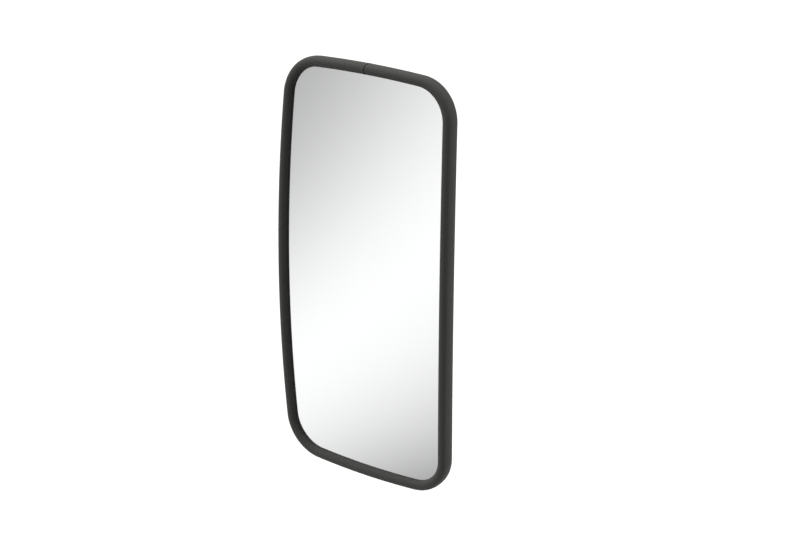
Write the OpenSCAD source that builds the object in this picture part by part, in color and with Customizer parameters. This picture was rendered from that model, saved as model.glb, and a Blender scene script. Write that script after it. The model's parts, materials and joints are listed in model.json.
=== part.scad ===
// Rectangular convex mirror with a rubber edge bead, carried on a ball joint from a wall plate.
// Millimetres. The origin is the centre of the wall plate's back face, +Z is up,
// the wall is the plane y = 0 and the mirror faces -Y.

/* [Mirror head] */
// Height of the head over its edge bead
head_h = 400; // [370:5:430]
// Width of the head over its edge bead
head_w = 200; // [185:5:220]
// Radius of the glass's front face: a smaller radius shows a wider view
glass_radius = 2000; // [1800:50:2600]
// How far each long side bows out between the corners
side_bow = 5.3; // [4:0.1:7]
// How far the top and bottom edges bow out between the corners
end_bow = 4.4; // [3.5:0.1:5.5]
// Corner radius along the middle of the bead
corner_r = 35; // [30:1:40]
// Thickness of the glass
glass_t = 3; // [2.5:0.5:4]
// Thickness of the safety film on the back of the glass
film_t = 0.3; // [0.2:0.1:0.5]
// Depth of the back shell's tray, between its floor and the film
tray_depth = 13; // [12:0.5:16]
// Wall thickness of the pressed back shell
shell_t = 1.2; // [0.8:0.1:1.6]

/* [Edge bead] */
// Width of the bead, measured along the glass
bead_w = 10.3; // [10:0.1:12]
// Depth of the bead, from its front to its back
bead_d = 16; // [14:0.5:18]
// Radius of the bead's front and back noses
bead_nose_r = 4.7; // [4:0.1:4.7]
// How far the middle of the bead is behind the middle of what it grips
bead_set_back = 0.4; // [0:0.1:1]
// Depth of the groove where the bead's two ends meet
joint_groove = 0.5; // [0.3:0.1:0.8]

/* [Wall plate] */
// Width of the wall plate
plate_w = 60; // [56:1:70]
// Height of the wall plate
plate_h = 100; // [90:5:130]
// Thickness of the wall plate
plate_t = 4; // [3:0.5:6]
// Distance across the pair of wall screw holes
hole_span_x = 40; // [36:1:44]
// Distance up the pair of wall screw holes
hole_span_z = 80; // [70:5:80]
// Diameter of each wall screw hole
wall_hole_d = 6.5; // [5:0.5:8]

/* [Ball joint] */
// Diameter of the ball
ball_d = 25; // [24:0.5:26]
// Distance from the wall to the centre of the ball
ball_reach = 42; // [42:1:60]
// Diameter of the stud's neck
neck_d = 9; // [8:0.5:9]

/* [Hidden] */
$fn = 64;
run_gap = 0.05;          // radial clearance of every turning fit
layer_gap = 0.05;        // clearance between the layers of the head
steel = "#8f9398";
zinc = "#b9bcc0";
black_paint = "#2a2a2c";
black_rubber = "#3a3936";
nylon = "#dcd8cc";

// Wall plate and the screws that hold the arm to it
plate_corner_r = 8;
arm_screw_z = 17;
arm_screw_r = 2.5;
arm_screw_head_r = 5;
arm_screw_head_t = 2.6;
arm_screw_socket_r = 1.7;
arm_screw_clear = 0.3;                   // radial clearance of the arm screws in the wall plate

// Arm and jaws: two blocks clamp the ball between round jaws
foot_w = 34;
foot_h = 48;
foot_t = 6;
foot_y = -(plate_t + foot_t);            // front face of the arm's foot
block_w = 28;
jaw_r = 15;
jaw_low_z = 9;                           // the jaws leave this height free either side of the ball
jaw_top_z = ball_d / 2 + 6;
block_front_y = -ball_reach + ball_d / 2 + 1.5;
split_gap = 1.5;                         // gap between the blocks that the clamp screws close
cup_r = ball_d / 2 - 1;
cup_top_z = ball_d / 2 + 2;
clamp_screw_x = 8;
clamp_screw_y = foot_y - 9;
clamp_screw_r = 3;
clamp_hole_r = 3.3;
clamp_head_r = 5;
clamp_head_h = 6;
clamp_socket_r = 2.9;
clamp_socket_depth = 3;
clamp_nut_h = 5;
clamp_nut_r = 5.7;
spring_washer_r = 5.4;
spring_washer_t = 1.6;

// Distances along the stud, counted forwards from the centre of the ball
flange_at = ball_d / 2 + 7.7;
flange_t = 2.2;
flange_hex_r = 8.6;
shank_at = flange_at + flange_t;
shank_r = 4;
bush_flange_t = 1;
hub_at = shank_at + bush_flange_t + 2 * layer_gap;
hub_boss_t = 2;
hub_disc_t = 3;
gasket_t = 1;
shell_at = hub_at + hub_boss_t + hub_disc_t + gasket_t;
stiffener_at = shell_at + shell_t;
stiffener_t = 2;
washer_at = stiffener_at + stiffener_t + 0.1;
washer_t = 1.2;
washer_r = 10;
wave_t = 1.1;
wave_r = 7.4;
nut_at = washer_at + washer_t + wave_t + 3 * layer_gap;
nut_h = 5.2;
nut_r = 7.5;
nut_collar_h = 1.6;
nut_collar_r = 6.2;
insert_r = 5.3;
film_at = stiffener_at + tray_depth;
shank_end = film_at - 0.7;
glass_front_at = film_at + film_t + glass_t;

// Hub, rivets and bush
hub_r = 27;
hub_boss_r = 11;
bush_r = 5.5;
bush_flange_r = 8.5;
rivet_ring_r = 20;
rivet_r = 2.4;
rivet_head_r = 4.5;
rivet_head_t = 1.4;
rivet_tail_r = 3.6;
rivet_tail_t = 2;
rivet_count = 4;

// The layers of the head are parts of spheres about one centre, far behind the wall
centre_y = -ball_reach - glass_front_at + glass_radius;
r_glass_back = glass_radius - glass_t;
r_film_back = r_glass_back - film_t;
r_flange_back = r_film_back - shell_t;
r_tray_floor = r_film_back - tray_depth;
r_tray_back = r_tray_floor - shell_t;
stack_t = glass_t + film_t + shell_t;    // what the bead's slot grips
r_bead = glass_radius - stack_t / 2;     // sphere that the middle of the bead lies on

// Outline of the bead's middle, seen from the front
mid_w = (head_w - bead_w) / 2;
mid_h = (head_h - bead_w) / 2;
side_r = (mid_h * mid_h + side_bow * side_bow) / (2 * side_bow);
end_r = (mid_w * mid_w + end_bow * end_bow) / (2 * end_bow);
slot_reach = 3.6;                        // slot depth past the middle of the bead
edge_reach = 3;                          // how far glass, film and flange reach into it
flange_inset = 14;                       // from the middle of the bead to the tray's wall
stiffener_w = 110;
stiffener_h = 150;
stiffener_corner_r = 12;

// ---- Outline in the XZ plane: four shallow arcs joined by corner arcs ----

function arc_points(cx, cz, r, from, to, steps) =
    [for (i = [0:steps]) let (a = from + (to - from) * i / steps) [cx + r * cos(a), cz + r * sin(a)]];

// Centre of the corner arc, which touches the side arc and the end arc from inside
function corner_centre() =
    let (
        side_c = [mid_w - side_r, 0],
        end_c = [0, mid_h - end_r],
        reach_a = side_r - corner_r,
        reach_b = end_r - corner_r,
        apart = norm(end_c - side_c),
        along = (reach_a * reach_a - reach_b * reach_b + apart * apart) / (2 * apart),
        across = sqrt(reach_a * reach_a - along * along),
        dir = (end_c - side_c) / apart
    )
    side_c + along * dir + across * [-dir.y, dir.x];

corner_c = corner_centre();
side_turn = atan2(corner_c.y, corner_c.x - mid_w + side_r);
end_turn = atan2(corner_c.y - mid_h + end_r, corner_c.x);

// One quarter of the outline, grown outwards by grow, from the side's middle to the top's middle
function quarter(grow) = concat(
    arc_points(mid_w - side_r, 0, side_r + grow, 0, side_turn, 8),
    arc_points(corner_c.x, corner_c.y, corner_r + grow, side_turn, end_turn, 16),
    arc_points(0, mid_h - end_r, end_r + grow, end_turn, 90, 6)
);

function without_ends(points) = [for (i = [1:len(points) - 2]) points[i]];

function outline(grow) =
    let (q = quarter(grow), inner = without_ends(q), n = len(inner), m = len(q))
    concat(
        [q[0]],
        inner,
        [q[m - 1]],
        [for (i = [n - 1:-1:0]) [-inner[i].x, inner[i].y]],
        [[-q[0].x, 0]],
        [for (p = inner) [-p.x, -p.y]],
        [[0, -q[m - 1].y]],
        [for (i = [n - 1:-1:0]) [inner[i].x, -inner[i].y]]
    );

// ---- Shapes shared by several pieces ----

// Turns a shape drawn upwards in Z so that it points forwards, towards -Y
module forwards() rotate([90, 0, 0]) children();

// Puts a shape on the stud's axis, at a distance in front of the ball's centre
module on_stud(at) translate([0, -ball_reach - at, 0]) forwards() children();

module ring(outer_r, inner_r, h) {
    difference() {
        cylinder(r = outer_r, h = h);
        translate([0, 0, -1]) cylinder(r = inner_r, h = h + 2);
    }
}

module rounded_slab(w, h, r, t) {
    linear_extrude(t) union() {
        square([w - 2 * r, h], center = true);
        square([w, h - 2 * r], center = true);
        for (sx = [-1, 1], sz = [-1, 1]) translate([sx * (w / 2 - r), sz * (h / 2 - r)]) circle(r);
    }
}

// Part of a spherical shell about the head's common centre, before it is trimmed to an outline
module bowl(r_in, r_out) {
    reach = head_h / 2 + 40;
    translate([0, centre_y, 0]) rotate([90, 0, 0]) rotate_extrude($fn = 120) intersection() {
        difference() {
            circle(r_out, $fn = 2880);
            circle(r_in, $fn = 2880);
        }
        translate([0, glass_radius * 0.9]) square([reach, glass_radius * 0.2]);
    }
}

// A straight block through the head, with the bead's outline grown by grow
module outline_block(grow) {
    depth = 120;
    translate([0, -ball_reach, 0]) forwards() linear_extrude(depth) polygon(outline(grow));
}

module layer(r_in, r_out, grow) {
    intersection() {
        bowl(r_in, r_out);
        outline_block(grow);
    }
}

// ---- Wall bracket ----

module wall_plate() {
    color(black_paint) difference() {
        forwards() rounded_slab(plate_w, plate_h, plate_corner_r, plate_t);
        for (sx = [-1, 1], sz = [-1, 1])
            translate([sx * hole_span_x / 2, 1, sz * hole_span_z / 2]) forwards()
                cylinder(d = wall_hole_d, h = plate_t + 2);
        for (sz = [-1, 1]) translate([0, 0, sz * arm_screw_z]) {
            translate([0, 1, 0]) forwards() cylinder(r = arm_screw_r + arm_screw_clear, h = plate_t + 2);
            translate([0, 0.01, 0]) forwards() cylinder(r1 = arm_screw_head_r + 0.2,
                r2 = arm_screw_r + arm_screw_clear, h = arm_screw_head_t + 0.2);
        }
    }
}

module arm_screws() {
    sunk = 0.1;                          // the heads stay this far below the plate's back face
    socket_depth = 1.6;
    color(zinc) for (sz = [-1, 1]) translate([0, -sunk, sz * arm_screw_z]) forwards() difference() {
        union() {
            cylinder(r1 = arm_screw_head_r, r2 = arm_screw_r, h = arm_screw_head_t);
            cylinder(r = arm_screw_r, h = plate_t + foot_t - sunk);
        }
        translate([0, 0, -1]) cylinder(r = arm_screw_socket_r, h = socket_depth + 1, $fn = 6);
    }
}

// One jaw with the block behind it, drawn for the upper side
module jaw_body(block_low_z) {
    union() {
        translate([-block_w / 2, block_front_y, block_low_z])
            cube([block_w, foot_y - 0.5 - block_front_y, jaw_top_z - block_low_z]);
        translate([-block_w / 2, -ball_reach, jaw_low_z])
            cube([block_w, ball_reach + foot_y - 0.5, jaw_top_z - jaw_low_z]);
        translate([0, -ball_reach, jaw_low_z]) cylinder(r = jaw_r, h = jaw_top_z - jaw_low_z);
    }
}

// Round recess for a seat cup and the two clamp screw holes, drawn for the upper side
module jaw_cuts() {
    translate([0, -ball_reach, jaw_low_z - 1])
        cylinder(r = cup_r, h = cup_top_z + run_gap - jaw_low_z + 1);
    for (sx = [-1, 1]) translate([sx * clamp_screw_x, clamp_screw_y, -2])
        cylinder(r = clamp_hole_r, h = jaw_top_z + 4);
}

module clamp_arm() {
    color(black_paint) difference() {
        union() {
            translate([0, -plate_t, 0]) forwards() rounded_slab(foot_w, foot_h, 5, foot_t);
            mirror([0, 0, 1]) jaw_body(split_gap / 2);
            translate([-block_w / 2, foot_y - 0.6, -jaw_top_z]) cube([block_w, 1, jaw_top_z - split_gap / 2]);
        }
        mirror([0, 0, 1]) jaw_cuts();
        for (sx = [-1, 1]) translate([sx * clamp_screw_x, clamp_screw_y, -jaw_top_z - 1])
            cylinder(r = clamp_nut_r + 0.1, h = clamp_nut_h + 1.1, $fn = 6);
        for (sz = [-1, 1]) translate([0, -plate_t + 1, sz * arm_screw_z]) forwards()
            cylinder(r = arm_screw_r + run_gap, h = foot_t + 1);
    }
}

module upper_jaw() {
    heel_d = 2.5;
    color(black_paint) difference() {
        union() {
            jaw_body(split_gap / 2);
            translate([-block_w / 2, foot_y - 0.5 - heel_d, -split_gap / 2 + layer_gap])
                cube([block_w, heel_d, 2 * split_gap]);
        }
        jaw_cuts();
    }
}

module clamp_screws() {
    head_z = jaw_top_z + spring_washer_t;
    tip_z = -jaw_top_z + 0.6;
    color(zinc) for (sx = [-1, 1]) translate([sx * clamp_screw_x, clamp_screw_y, 0]) difference() {
        union() {
            translate([0, 0, head_z]) cylinder(r = clamp_head_r, h = clamp_head_h);
            translate([0, 0, tip_z]) cylinder(r = clamp_screw_r, h = head_z - tip_z + 0.1);
        }
        translate([0, 0, head_z + clamp_head_h - clamp_socket_depth])
            cylinder(r = clamp_socket_r, h = clamp_socket_depth + 1, $fn = 6);
    }
}

module spring_washers() {
    color(steel) for (sx = [-1, 1]) translate([sx * clamp_screw_x, clamp_screw_y, jaw_top_z]) difference() {
        ring(spring_washer_r, clamp_screw_r + 0.1, spring_washer_t);
        translate([-0.5, 0, -1]) cube([1, 8, spring_washer_t + 2]);   // the gap in the washer
    }
}

module clamp_nuts() {
    color(zinc) for (sx = [-1, 1])
        translate([sx * clamp_screw_x, clamp_screw_y, -jaw_top_z + layer_gap]) difference() {
            cylinder(r = clamp_nut_r, h = clamp_nut_h - layer_gap, $fn = 6);
            translate([0, 0, -1]) cylinder(r = clamp_screw_r + run_gap, h = clamp_nut_h + 2);
        }
}

// ---- Seat cups, which turn with the head when it is swung left or right ----

module seat_cup() {
    translate([0, -ball_reach, 0]) difference() {
        translate([0, 0, jaw_low_z]) cylinder(r = cup_r - run_gap, h = cup_top_z - jaw_low_z);
        sphere(r = ball_d / 2 + run_gap);
    }
}

module upper_seat_cup() color(nylon) seat_cup();
module lower_seat_cup() color(nylon) mirror([0, 0, 1]) seat_cup();

// ---- Ball stud ----

module ball_stud() {
    color(zinc) union() {
        translate([0, -ball_reach, 0]) sphere(d = ball_d);
        on_stud(0) cylinder(d = neck_d, h = flange_at + 0.5);
        on_stud(flange_at) cylinder(r = flange_hex_r, h = flange_t, $fn = 6);
        on_stud(flange_at + 0.5) cylinder(r = shank_r, h = shank_end - flange_at - 0.5);
    }
}

module thrust_washer() color(steel) on_stud(washer_at) ring(washer_r, shank_r + run_gap, washer_t);
module wave_washer() {
    color(steel) on_stud(washer_at + washer_t + layer_gap) ring(wave_r, shank_r + 0.2, wave_t);
}

module lock_nut() {
    color(zinc) on_stud(nut_at) difference() {
        union() {
            cylinder(r = nut_r, h = nut_h, $fn = 6);
            translate([0, 0, nut_h - 0.5]) cylinder(r = nut_collar_r, h = nut_collar_h + 0.5);
        }
        translate([0, 0, -1]) cylinder(r = shank_r + run_gap, h = nut_h + 3);
        translate([0, 0, nut_h]) cylinder(r = insert_r, h = nut_collar_h + 1);
    }
}

module lock_nut_insert() {
    color(nylon) on_stud(nut_at + nut_h + layer_gap)
        ring(insert_r - run_gap, shank_r + run_gap, nut_collar_h - layer_gap);
}

// ---- Hub: what carries the head on the stud ----

module hub_bush() {
    color(nylon) on_stud(shank_at + layer_gap) difference() {
        union() {
            cylinder(r = bush_flange_r, h = bush_flange_t);
            cylinder(r = bush_r - layer_gap, h = washer_at - shank_at - 3 * layer_gap);
        }
        translate([0, 0, -1]) cylinder(r = shank_r + run_gap, h = 20);
    }
}

module pivot_hub() {
    rib_w = 2.5;
    color(black_paint) on_stud(hub_at) difference() {
        union() {
            translate([0, 0, hub_boss_t]) cylinder(r = hub_r, h = hub_disc_t);
            cylinder(r = hub_boss_r, h = hub_boss_t + 1);
            for (i = [0:rivet_count - 1]) rotate(360 / rivet_count * i) translate([0, -rib_w / 2, 0.6])
                cube([hub_r - 2, rib_w, hub_boss_t]);
        }
        translate([0, 0, -1]) cylinder(r = bush_r, h = 10);
        rivet_places() translate([0, 0, -1]) cylinder(r = rivet_r + layer_gap, h = 10);
    }
}

module rivet_places() {
    for (i = [0:rivet_count - 1])
        rotate(360 / rivet_count * (i + 0.5)) translate([rivet_ring_r, 0, 0]) children();
}

// The gasket is thinner than the space for it by the bow of the shell across the hub
module hub_gasket() {
    shell_bow = hub_r * hub_r / (2 * r_tray_back);
    color(black_rubber) on_stud(hub_at + hub_boss_t + hub_disc_t + layer_gap) difference() {
        cylinder(r = hub_r, h = gasket_t - shell_bow - 2 * layer_gap);
        translate([0, 0, -1]) cylinder(r = bush_r + 0.2, h = 4);
        rivet_places() translate([0, 0, -1]) cylinder(r = rivet_r + layer_gap, h = 4);
    }
}

module hub_rivets() {
    grip = stiffener_at + stiffener_t + 0.3 - hub_at - hub_boss_t;
    color(steel) on_stud(hub_at + hub_boss_t) rivet_places() union() {
        translate([0, 0, -rivet_head_t]) cylinder(r = rivet_head_r, h = rivet_head_t);
        translate([0, 0, -0.5]) cylinder(r = rivet_r, h = grip + 1);
        translate([0, 0, grip]) cylinder(r = rivet_tail_r, h = rivet_tail_t);
    }
}

// ---- Head ----

// Holes through the shell and the stiffener for the bush and the rivets
module hub_holes(clear) {
    on_stud(shell_at - 6) {
        cylinder(r = bush_r + clear, h = 20);
        rivet_places() cylinder(r = rivet_r + layer_gap, h = 20);
    }
}

module back_shell() {
    color(black_paint) difference() {
        union() {
            layer(r_flange_back, r_film_back - layer_gap, edge_reach);
            layer(r_tray_back, r_film_back - shell_t / 2, -flange_inset);
        }
        layer(r_tray_floor, glass_radius, -flange_inset - shell_t);
        hub_holes(0.5);
    }
}

module stiffener_block(grow) {
    translate([0, -ball_reach, 0]) forwards()
        rounded_slab(stiffener_w + 2 * grow, stiffener_h + 2 * grow, stiffener_corner_r + grow, 90);
}

module stiffener_plate() {
    color(steel) difference() {
        intersection() {
            bowl(r_tray_floor + layer_gap, r_tray_floor + stiffener_t);
            stiffener_block(0);
        }
        hub_holes(0);
    }
}

module foam_pad() {
    nut_well_r = 30;
    color("#4c4c4e") difference() {
        layer(r_tray_floor + layer_gap, r_film_back - layer_gap, -flange_inset - shell_t - 0.3);
        intersection() {
            bowl(r_tray_floor - 1, r_tray_floor + stiffener_t + layer_gap);
            stiffener_block(0.3);
        }
        on_stud(shell_at - 1) cylinder(r = nut_well_r, h = tray_depth + 10);
    }
}

module safety_film() color("#50555c") layer(r_film_back, r_glass_back - layer_gap, edge_reach);
module mirror_glass() color("#dfe4e8") layer(r_glass_back, glass_radius, edge_reach);

// ---- Edge bead: an oval section swept round the head, square to the glass everywhere ----

// Four-arc oval: x points outwards along the glass, y points to the front
module oval(shrink) {
    a = bead_w / 2 - shrink;
    b = bead_d / 2 - shrink;
    nose = bead_nose_r - shrink;
    // radius of the long flanks, which run into the noses without a corner
    flank = ((b - nose) * (b - nose) + a * a - nose * nose) / (2 * (a - nose));
    tangent_y = flank * (b - nose) / (flank - nose);
    union() {
        intersection() {
            translate([a - flank, 0]) circle(flank, $fn = 240);
            translate([flank - a, 0]) circle(flank, $fn = 240);
            square([2 * bead_w, 2 * tangent_y], center = true);
        }
        for (s = [-1, 1]) translate([0, s * (b - nose)]) circle(nose, $fn = 64);
    }
}

module bead_section(shrink) {
    slot_grow = min(shrink, lap_step);
    slot_w = stack_t + 2 * layer_gap + 2 * slot_grow;
    difference() {
        translate([0, -bead_set_back]) oval(shrink);
        translate([-bead_w, -slot_w / 2]) square([bead_w + slot_reach + slot_grow, slot_w]);
    }
}

// Each edge of the bead lies on a circle of the sphere. A circle is given by the direction of
// its axis from the sphere's centre and by its angular radius.

// Angular radius of the circle whose front view has radius r, through a rim point at angle rim
function circle_angle(r, rim) = atan2(cos(rim), r_bead / r - sin(rim));

rim_side = asin(mid_w / r_bead);
rim_end = asin(mid_h / r_bead);
side_angle = circle_angle(side_r, rim_side);
end_angle = circle_angle(end_r, rim_end);
corner_angle = asin(corner_r / r_bead);
side_axis = [sin(rim_side - side_angle), -cos(rim_side - side_angle), 0];
side_out = [cos(rim_side - side_angle), sin(rim_side - side_angle), 0];
end_axis = [0, -cos(rim_end - end_angle), sin(rim_end - end_angle)];
end_out = [0, sin(rim_end - end_angle), cos(rim_end - end_angle)];

// Axis of the corner circle, which touches the side circle and the end circle from inside
function corner_direction() =
    let (
        k1 = cos(side_angle - corner_angle),
        k2 = cos(end_angle - corner_angle),
        sx = side_axis.x,
        sy = side_axis.y,
        ey = end_axis.y,
        ez = end_axis.z,
        qa = sy * sy / (sx * sx) + 1 + ey * ey / (ez * ez),
        qb = -2 * (k1 * sy / (sx * sx) + k2 * ey / (ez * ez)),
        qc = k1 * k1 / (sx * sx) + k2 * k2 / (ez * ez) - 1,
        y = (-qb - sqrt(qb * qb - 4 * qa * qc)) / (2 * qa)
    )
    [(k1 - sy * y) / sx, y, (k2 - ey * y) / ez];

function unit(v) = v / norm(v);
function square_to(v, axis) = unit(v - (v * axis) * axis);

corner_axis = corner_direction();
side_half = acos(square_to(corner_axis, side_axis) * side_out);
end_half = acos(square_to(corner_axis, end_axis) * end_out);
corner_from = -square_to(side_axis, corner_axis);
corner_to = -square_to(end_axis, corner_axis);
corner_sweep = acos(corner_from * corner_to);
joint_half = 0.03;                       // half the width of the joint's groove, as an angle
lap_step = 0.2;                          // corners are this much slimmer, so that they enter the sides
lap = 0.1;                               // and they reach this far into them
corner_lap = lap / corner_r * 180 / PI;
joint_lap = lap / end_r * 180 / PI;

// Places a shape drawn about Z so that Z follows axis and X follows out
module aimed(axis, out) {
    side = cross(axis, out);
    multmatrix([
        [out.x, side.x, axis.x, 0],
        [out.y, side.y, axis.y, centre_y],
        [out.z, side.z, axis.z, 0],
        [0, 0, 0, 1]
    ]) children();
}

module bead_arc(axis, out, angle, from, sweep, steps, shrink = 0) {
    aimed(axis, out) rotate_extrude(angle = sweep, start = from, $fn = steps)
        translate([r_bead * sin(angle), r_bead * cos(angle)]) rotate(-angle) bead_section(shrink);
}

module bead_corner() {
    sweep = corner_sweep + 2 * corner_lap;
    bead_arc(corner_axis, corner_from, corner_angle, -corner_lap, sweep, 96, lap_step);
}

module edge_bead() {
    side_steps = 1440;
    end_steps = 720;
    joint_reach = joint_half + joint_lap;
    color(black_rubber) union() {
        for (m = [0, 1]) mirror([m, 0, 0]) {
            bead_arc(side_axis, side_out, side_angle, -side_half, 2 * side_half, side_steps);
            bead_corner();
            mirror([0, 0, 1]) bead_corner();
        }
        mirror([0, 0, 1]) bead_arc(end_axis, end_out, end_angle, -end_half, 2 * end_half, end_steps);
        bead_arc(end_axis, end_out, end_angle, joint_half, end_half - joint_half, end_steps);
        bead_arc(end_axis, end_out, end_angle, -end_half, end_half - joint_half, end_steps);
        bead_arc(end_axis, end_out, end_angle, -joint_reach, 2 * joint_reach, 1440, joint_groove);
    }
}

wall_plate();
arm_screws();
clamp_arm();
upper_jaw();
clamp_screws();
spring_washers();
clamp_nuts();
upper_seat_cup();
lower_seat_cup();
ball_stud();
thrust_washer();
wave_washer();
lock_nut();
lock_nut_insert();
hub_bush();
pivot_hub();
hub_gasket();
hub_rivets();
back_shell();
stiffener_plate();
foam_pad();
safety_film();
mirror_glass();
edge_bead();
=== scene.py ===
"""Looks of a rectangular convex mirror with a rubber edge bead, on a ball joint and a wall plate.

Metres throughout. The origin is the centre of the wall plate's back face, +Z is up, the wall is
the plane y = 0 and the mirror faces -Y.
"""
import json
from math import acos, asin, atan2, cos, hypot, pi, radians, sin, sqrt, tau

import bmesh
import bpy
from bpy.props import FloatProperty, FloatVectorProperty, IntProperty, PointerProperty
from bpy.types import Operator, Panel, PropertyGroup
from mathutils import Matrix, Vector


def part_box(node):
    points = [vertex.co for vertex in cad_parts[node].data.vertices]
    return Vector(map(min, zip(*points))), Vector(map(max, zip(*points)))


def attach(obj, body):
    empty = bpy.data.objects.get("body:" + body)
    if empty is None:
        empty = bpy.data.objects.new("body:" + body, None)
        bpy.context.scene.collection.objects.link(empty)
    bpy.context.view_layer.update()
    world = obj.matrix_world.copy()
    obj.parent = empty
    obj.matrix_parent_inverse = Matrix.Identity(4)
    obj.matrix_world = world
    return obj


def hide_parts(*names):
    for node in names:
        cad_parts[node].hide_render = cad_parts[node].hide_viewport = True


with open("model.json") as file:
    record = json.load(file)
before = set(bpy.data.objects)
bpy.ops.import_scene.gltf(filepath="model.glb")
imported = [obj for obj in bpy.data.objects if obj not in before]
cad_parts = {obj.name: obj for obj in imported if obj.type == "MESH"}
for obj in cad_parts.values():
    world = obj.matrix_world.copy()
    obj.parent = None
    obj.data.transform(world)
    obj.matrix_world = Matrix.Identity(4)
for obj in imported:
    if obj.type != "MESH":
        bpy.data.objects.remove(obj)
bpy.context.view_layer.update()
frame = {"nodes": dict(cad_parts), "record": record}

bl_info = {
    "name": "Convex Mirror",
    "version": (1, 0, 0),
    "blender": (4, 5, 0),
    "location": "View3D > Sidebar > Convex Mirror",
    "description": "Builds a convex mirror with its rubber edge, back shell and ball-joint bracket",
    "category": "Add Mesh",
}

MM = 0.001
FORWARD = Vector((0, -1, 0))
UP = Vector((0, 0, 1))
RIGHT = Vector((1, 0, 0))

# Where the ball is: its top and bottom are the highest and lowest points of the stud
BALL_LOW, BALL_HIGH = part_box("ball_stud")
BALL_R = BALL_HIGH.z
BALL = Vector((0, BALL_HIGH.y - BALL_R, 0))


# ---- Sizes and colours that a user would change ----


def length(name, description, default):
    return FloatProperty(name=name, description=description, default=default, subtype="DISTANCE",
                         unit="LENGTH", precision=4, min=0.0)


def angle(name, description, degrees_):
    return FloatProperty(name=name, description=description, default=radians(degrees_),
                         subtype="ANGLE", unit="ROTATION")


def number(name, description, default):
    return FloatProperty(name=name, description=description, default=default, subtype="FACTOR",
                         min=0.0, soft_max=2.0)


def colour(name, description, default):
    return FloatVectorProperty(name=name, description=description, default=default, size=3,
                               subtype="COLOR", min=0.0, max=1.0)


class HeadSizes(PropertyGroup):
    width: length("Width", "Width of the head over its edge bead", 200 * MM)
    height: length("Height", "Height of the head over its edge bead", 400 * MM)
    glass_radius: length("Glass radius", "Radius of the glass's front face", 2.0)
    glass_reach: length("Glass reach", "From the ball's centre to the front of the glass", 47 * MM)
    side_bow: length("Side bow", "How far each long side bows out", 5.3 * MM)
    end_bow: length("End bow", "How far the top and bottom edges bow out", 4.4 * MM)
    corner_radius: length("Corner radius", "Corner radius along the middle of the bead", 35 * MM)
    glass: length("Glass", "Thickness of the glass", 3 * MM)
    film: length("Film", "Thickness of the safety film behind the glass", 0.3 * MM)
    shell: length("Shell", "Wall thickness of the pressed back shell", 1.2 * MM)
    tray_depth: length("Tray depth", "From the shell's floor to the film", 13 * MM)
    tray_inset: length("Tray inset", "From the middle of the bead to the tray's wall", 14 * MM)
    edge_reach: length("Edge reach", "How far glass and flange reach into the bead", 3 * MM)
    rib_height: length("Rib height", "How far the shell's pressed ribs stand out", 1.1 * MM)


class BeadSizes(PropertyGroup):
    width: length("Width", "Width of the bead, along the glass", 10.3 * MM)
    depth: length("Depth", "Depth of the bead, front to back", 16 * MM)
    nose: length("Nose radius", "Radius of the bead's front and back noses", 4.7 * MM)
    set_back: length("Set back", "How far the bead's middle is behind that of what it grips", 0.4 * MM)
    slot_reach: length("Slot reach", "Depth of the slot past the middle of the bead", 3.6 * MM)
    slot_play: length("Slot play", "Clearance each side of what the slot grips", 0.05 * MM)
    lip: length("Lip radius", "Rounding of the slot's two lips", 0.45 * MM)
    groove: length("Joint groove", "Depth of the groove where the bead's ends meet", 0.8 * MM)
    swell: length("Joint swell", "How far the bead's last end stands proud at the joint", 0.16 * MM)


class BracketSizes(PropertyGroup):
    plate_corner: length("Plate corner", "Corner radius of the wall plate", 8 * MM)
    foot_width: length("Foot width", "Width of the arm's foot", 34 * MM)
    foot_corner: length("Foot corner", "Corner radius of the arm's foot", 5 * MM)
    hole_span_x: length("Hole span across", "Across the pair of wall screw holes", 40 * MM)
    hole_span_z: length("Hole span up", "Up the pair of wall screw holes", 80 * MM)
    hole: length("Wall hole", "Diameter of each wall screw hole", 6.5 * MM)
    arm_screw_span: length("Arm screw span", "Up the pair of screws that hold the arm", 34 * MM)
    block_width: length("Block width", "Width of the blocks and the jaws", 28 * MM)
    jaw_radius: length("Jaw radius", "Radius of the jaws' round ends", 15 * MM)
    jaw_gap: length("Jaw gap", "Height that the jaws leave free either side of the ball", 9 * MM)
    jaw_wall: length("Jaw wall", "Height of the jaws above the ball", 6 * MM)
    block_gap: length("Block gap", "Height of each block above the middle", 0.75 * MM)
    seat_recess: length("Seat recess", "Radius of the jaws' recess for a seat cup", 11.5 * MM)
    clamp_span: length("Clamp span", "Across the pair of clamp screws", 16 * MM)
    clamp_hole: length("Clamp hole", "Diameter of the clamp screw holes", 6.6 * MM)
    cast_edge: length("Cast edge", "Rounding of the castings' edges", 1.1 * MM)
    neck: length("Neck", "Diameter of the stud's neck", 9 * MM)
    rivet_ring: length("Rivet ring", "Radius of the ring that the hub's rivets are on", 20 * MM)
    rivets: IntProperty(name="Rivets", description="Number of rivets in the hub", default=4, min=3, max=8)


class FinishColours(PropertyGroup):
    rubber: colour("Rubber", "Edge bead", (0.0165, 0.0162, 0.0155))
    mirror: colour("Mirror", "Silvered glass", (0.945, 0.95, 0.95))
    coating: colour("Powder coat", "Wall plate", (0.022, 0.022, 0.024))
    casting: colour("Casting", "Arm, jaw and hub", (0.028, 0.028, 0.030))
    pressing: colour("Shell paint", "Back shell", (0.022, 0.022, 0.023))
    zinc: colour("Zinc plate", "Screws, nuts and ball stud", (0.66, 0.67, 0.68))
    spring: colour("Spring steel", "Washers, rivets and stiffener", (0.42, 0.43, 0.45))
    nylon: colour("Nylon", "Seat cups and bush", (0.78, 0.75, 0.66))
    insert: colour("Insert", "Ring in the lock nut", (0.05, 0.14, 0.42))
    gasket: colour("Gasket", "Ring between hub and shell", (0.020, 0.020, 0.020))
    foam: colour("Foam", "Pad inside the head", (0.045, 0.045, 0.048))
    film: colour("Film", "Safety film behind the glass", (0.20, 0.22, 0.25))


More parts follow.
